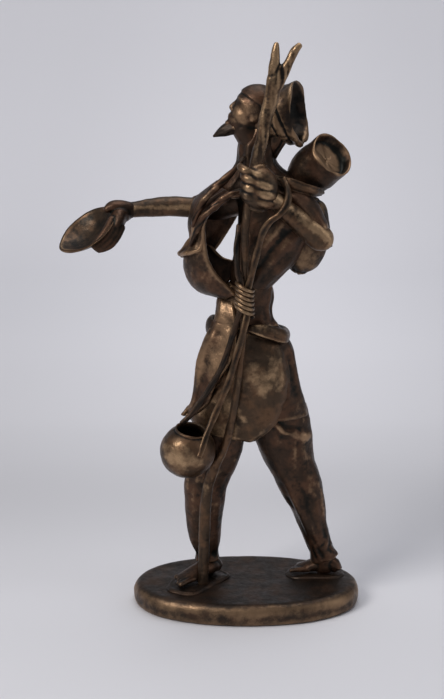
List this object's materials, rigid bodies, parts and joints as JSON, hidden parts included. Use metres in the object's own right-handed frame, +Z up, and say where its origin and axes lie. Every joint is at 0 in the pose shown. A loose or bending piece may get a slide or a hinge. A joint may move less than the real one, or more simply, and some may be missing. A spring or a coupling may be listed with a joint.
{
  "type": "figurine",
  "caption": "Cast bronze figurine of a bearded man striding on an oval plinth, holding out a bowl and gripping a tall forked staff, with a pot on cords and a sack on the shoulder.",
  "frame": {"origin": "centre of the plinth oval on its flat underside", "axes": "+Z up, -X the way the figure faces and walks, -Y towards the figure's left side, where the staff is"},
  "size_m": [0.1547, 0.0738, 0.2991],
  "materials": {
    "brown": "brown patinated cast bronze, waxed, with rubbed highlights",
    "rubbed": "cast bronze with the brown patina rubbed back to dull gold on raised places",
    "dark": "dark brown to black patinated cast bronze, satin"
  },
  "bodies": {
    "root": {"base_plate": "dark", "front_sole": "dark", "rear_sole": "dark", "front_foot": "brown", "rear_foot": "brown", "front_trouser_leg": "brown", "rear_trouser_leg": "brown", "tunic_skirt": "brown", "apron_panel": "rubbed", "front_flap": "brown", "waist_roll_back": "rubbed", "waist_roll_front": "brown", "abdomen": "brown", "torso": "brown", "neck": "brown", "head": "brown", "beard": "dark", "head_wrap": "dark", "right_sleeve": "brown", "right_arm": "rubbed", "right_hand": "brown", "begging_bowl": "rubbed", "left_upper_arm": "brown", "left_forearm": "rubbed", "left_hand": "rubbed", "staff": "dark", "staff_binding": "rubbed", "near_cord": "rubbed", "far_cord": "dark", "gourd_pot": "rubbed", "chest_drape": "brown", "chest_pouch": "brown", "scarf_outer": "rubbed", "scarf_inner": "rubbed", "sack": "brown", "sack_strap": "rubbed", "back_bag": "dark"}
  },
  "joints": []
}
